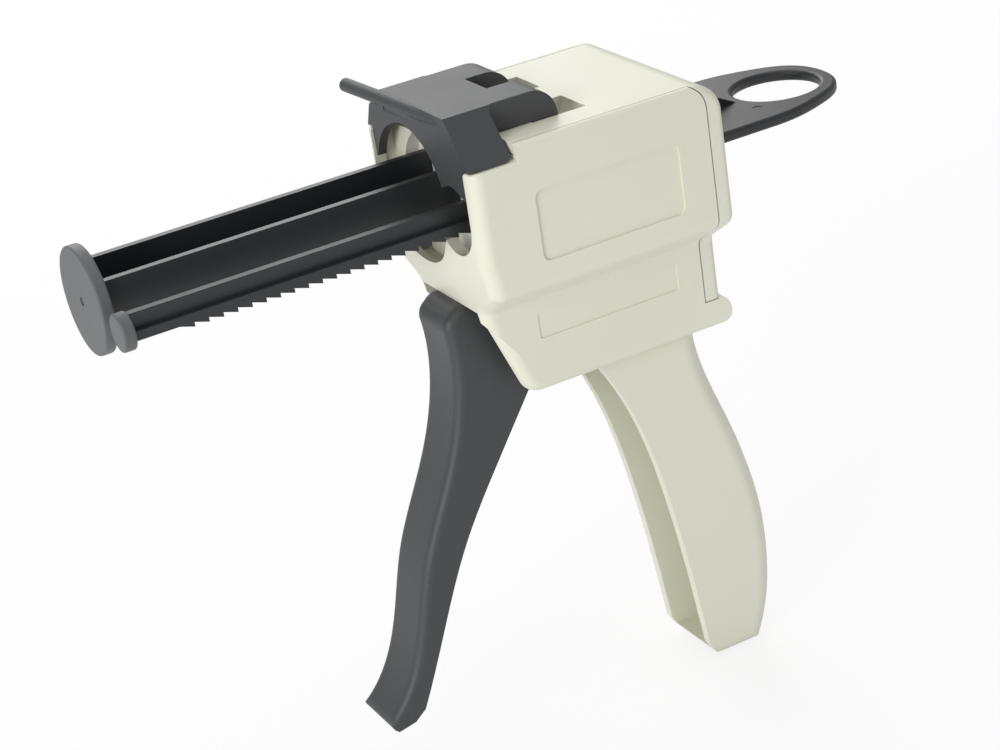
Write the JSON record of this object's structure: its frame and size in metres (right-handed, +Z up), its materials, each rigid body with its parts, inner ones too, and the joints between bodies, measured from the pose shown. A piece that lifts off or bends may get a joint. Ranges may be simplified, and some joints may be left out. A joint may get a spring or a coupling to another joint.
{
  "type": "two-cartridge dispensing gun",
  "caption": "Hand-held dental dispensing gun: a squeezed lever steps two joined rods with push discs through a two-barrel paste cartridge; hinged lock, pull loop, release tab.",
  "frame": {"origin": "where the large rod's axis crosses the front plane of the housing", "axes": "+X from the push discs back to the pull loop, so paste is pushed towards -X; +Y across, away from the small rod; +Z up, away from the handle"},
  "size_m": [0.1995, 0.0574, 0.1703],
  "materials": {
    "cream_plastic": "satin moulded",
    "dark_plastic": "fine matt grain",
    "black_plastic": "moulded gloss",
    "grey_plastic": "matt",
    "white_plastic": "matt",
    "steel": "ground",
    "spring_steel": "drawn wire"
  },
  "bodies": {
    "frame": {"housing_body": "cream_plastic", "rear_cover": "cream_plastic", "rod_guide": "white_plastic", "lock_hinge_pin": "steel", "lever_pivot_pin": "steel", "release_pin": "steel", "release_clip": "spring_steel", "release_spring": "spring_steel", "lever_return_spring": "spring_steel"},
    "lock": {"cartridge_lock": "dark_plastic"},
    "rods": {"plunger": "black_plastic", "large_push_disc": "grey_plastic", "small_push_disc": "grey_plastic"},
    "lever": {"trigger_lever": "dark_plastic", "lever_pivot_bushes": "white_plastic", "drive_pawl_pin": "steel", "drive_pawl_clip": "spring_steel", "drive_pawl_spring": "spring_steel"},
    "pawl": {"drive_pawl": "steel"},
    "release": {"release_lever": "dark_plastic"}
  },
  "joints": [
    {"name": "rod_slide", "type": "slide", "parent": "frame", "child": "rods", "axis": [1, 0, 0], "range_m": [-0.0007, 0.09]},
    {"name": "lock_hinge", "type": "hinge", "parent": "frame", "child": "lock", "pos_m": [0.0269, -0.0062, 0.0116], "axis": [0, 1, 0], "range_deg": [0, 65]},
    {"name": "lever_pivot", "type": "hinge", "parent": "frame", "child": "lever", "pos_m": [0.0235, -0.0062, -0.028], "axis": [0, -1, 0], "range_deg": [0, 28], "stiffness_Nm_per_rad": 0.16, "springref_deg": -25.78, "deforming": ["lever_return_spring"]},
    {"name": "pawl_pivot", "type": "hinge", "parent": "lever", "child": "pawl", "pos_m": [0.0272, -0.0213, -0.0138], "axis": [0, -1, 0], "range_deg": [-28, 0]},
    {"name": "release_pivot", "type": "hinge", "parent": "frame", "child": "release", "pos_m": [0.057, -0.0118, -0.0135], "axis": [0, -1, 0], "range_deg": [0, 12], "stiffness_Nm_per_rad": 0.018, "springref_deg": -17.19, "deforming": ["release_spring"]}
  ],
  "couplings": [
    {"joint": "pawl_pivot", "follows": "lever_pivot", "ratio": -1}
  ]
}
